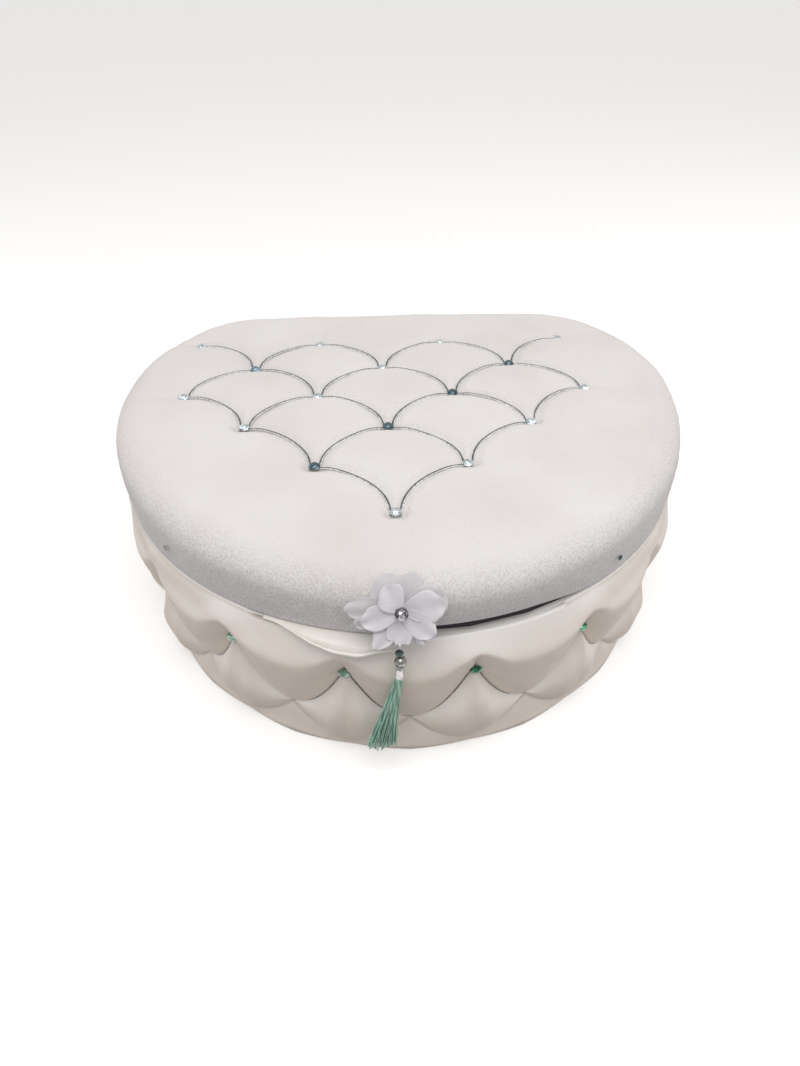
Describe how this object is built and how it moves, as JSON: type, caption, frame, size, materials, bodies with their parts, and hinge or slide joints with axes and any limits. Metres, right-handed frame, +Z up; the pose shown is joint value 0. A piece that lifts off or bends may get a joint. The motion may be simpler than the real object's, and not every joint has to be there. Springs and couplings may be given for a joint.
{
  "type": "velvet henna box",
  "caption": "D-shaped keepsake box padded in tufted ivory velvet, with a quilted lift-off lid, silver cord, stones, an organza flower and a silk tassel.",
  "frame": {"origin": "middle of the flat underside of the box, which it stands on", "axes": "+Z up, -Y is the rounded front with the flower and tassel, +Y is the straight back, +X is the viewer's right"},
  "size_m": [0.422, 0.3941, 0.1608],
  "materials": {
    "card": "matt black card",
    "satin": "glossy satin weave",
    "velvet": "short ivory pile with a faint shimmer",
    "silver_cord": "silver metallic yarn",
    "clear_stone": "cut and foil-backed",
    "green_stone": "cut and foil-backed",
    "silver_bead": "silvered and faceted",
    "organza": "sheer lilac-white organza",
    "silk": "mint silk strands"
  },
  "bodies": {
    "root": {"body_cord": "silver_cord", "body_lining": "satin", "body_padding": "velvet", "body_shell": "card", "body_stone_01": "green_stone", "body_stone_02": "green_stone", "body_stone_03": "green_stone", "body_stone_04": "green_stone", "body_stone_05": "green_stone", "body_stone_06": "green_stone", "body_stone_07": "green_stone", "body_stone_08": "green_stone", "body_stone_09": "green_stone", "body_stone_10": "green_stone", "body_stone_11": "green_stone", "body_stone_12": "green_stone", "flower_bead": "silver_bead", "flower_petals_inner": "organza", "flower_petals_outer": "organza", "lid_cords": "silver_cord", "lid_lining": "satin", "lid_padding": "velvet", "lid_shell": "card", "lid_stone_01": "clear_stone", "lid_stone_02": "clear_stone", "lid_stone_03": "clear_stone", "lid_stone_04": "clear_stone", "lid_stone_05": "clear_stone", "lid_stone_06": "clear_stone", "lid_stone_07": "clear_stone", "lid_stone_08": "clear_stone", "lid_stone_09": "clear_stone", "lid_stone_10": "clear_stone", "lid_stone_11": "clear_stone", "lid_stone_12": "clear_stone", "lid_stone_13": "clear_stone", "lid_stone_14": "clear_stone", "lid_stone_15": "clear_stone", "lid_stone_16": "clear_stone", "lid_stone_17": "clear_stone", "lid_stud_left": "silver_bead", "lid_stud_right": "green_stone", "satin_fold": "satin", "tassel_bead": "silver_bead", "tassel_collar": "silver_cord", "tassel_skirt": "silk", "tassel_stone": "green_stone", "tassel_thread": "silver_cord"}
  },
  "joints": []
}
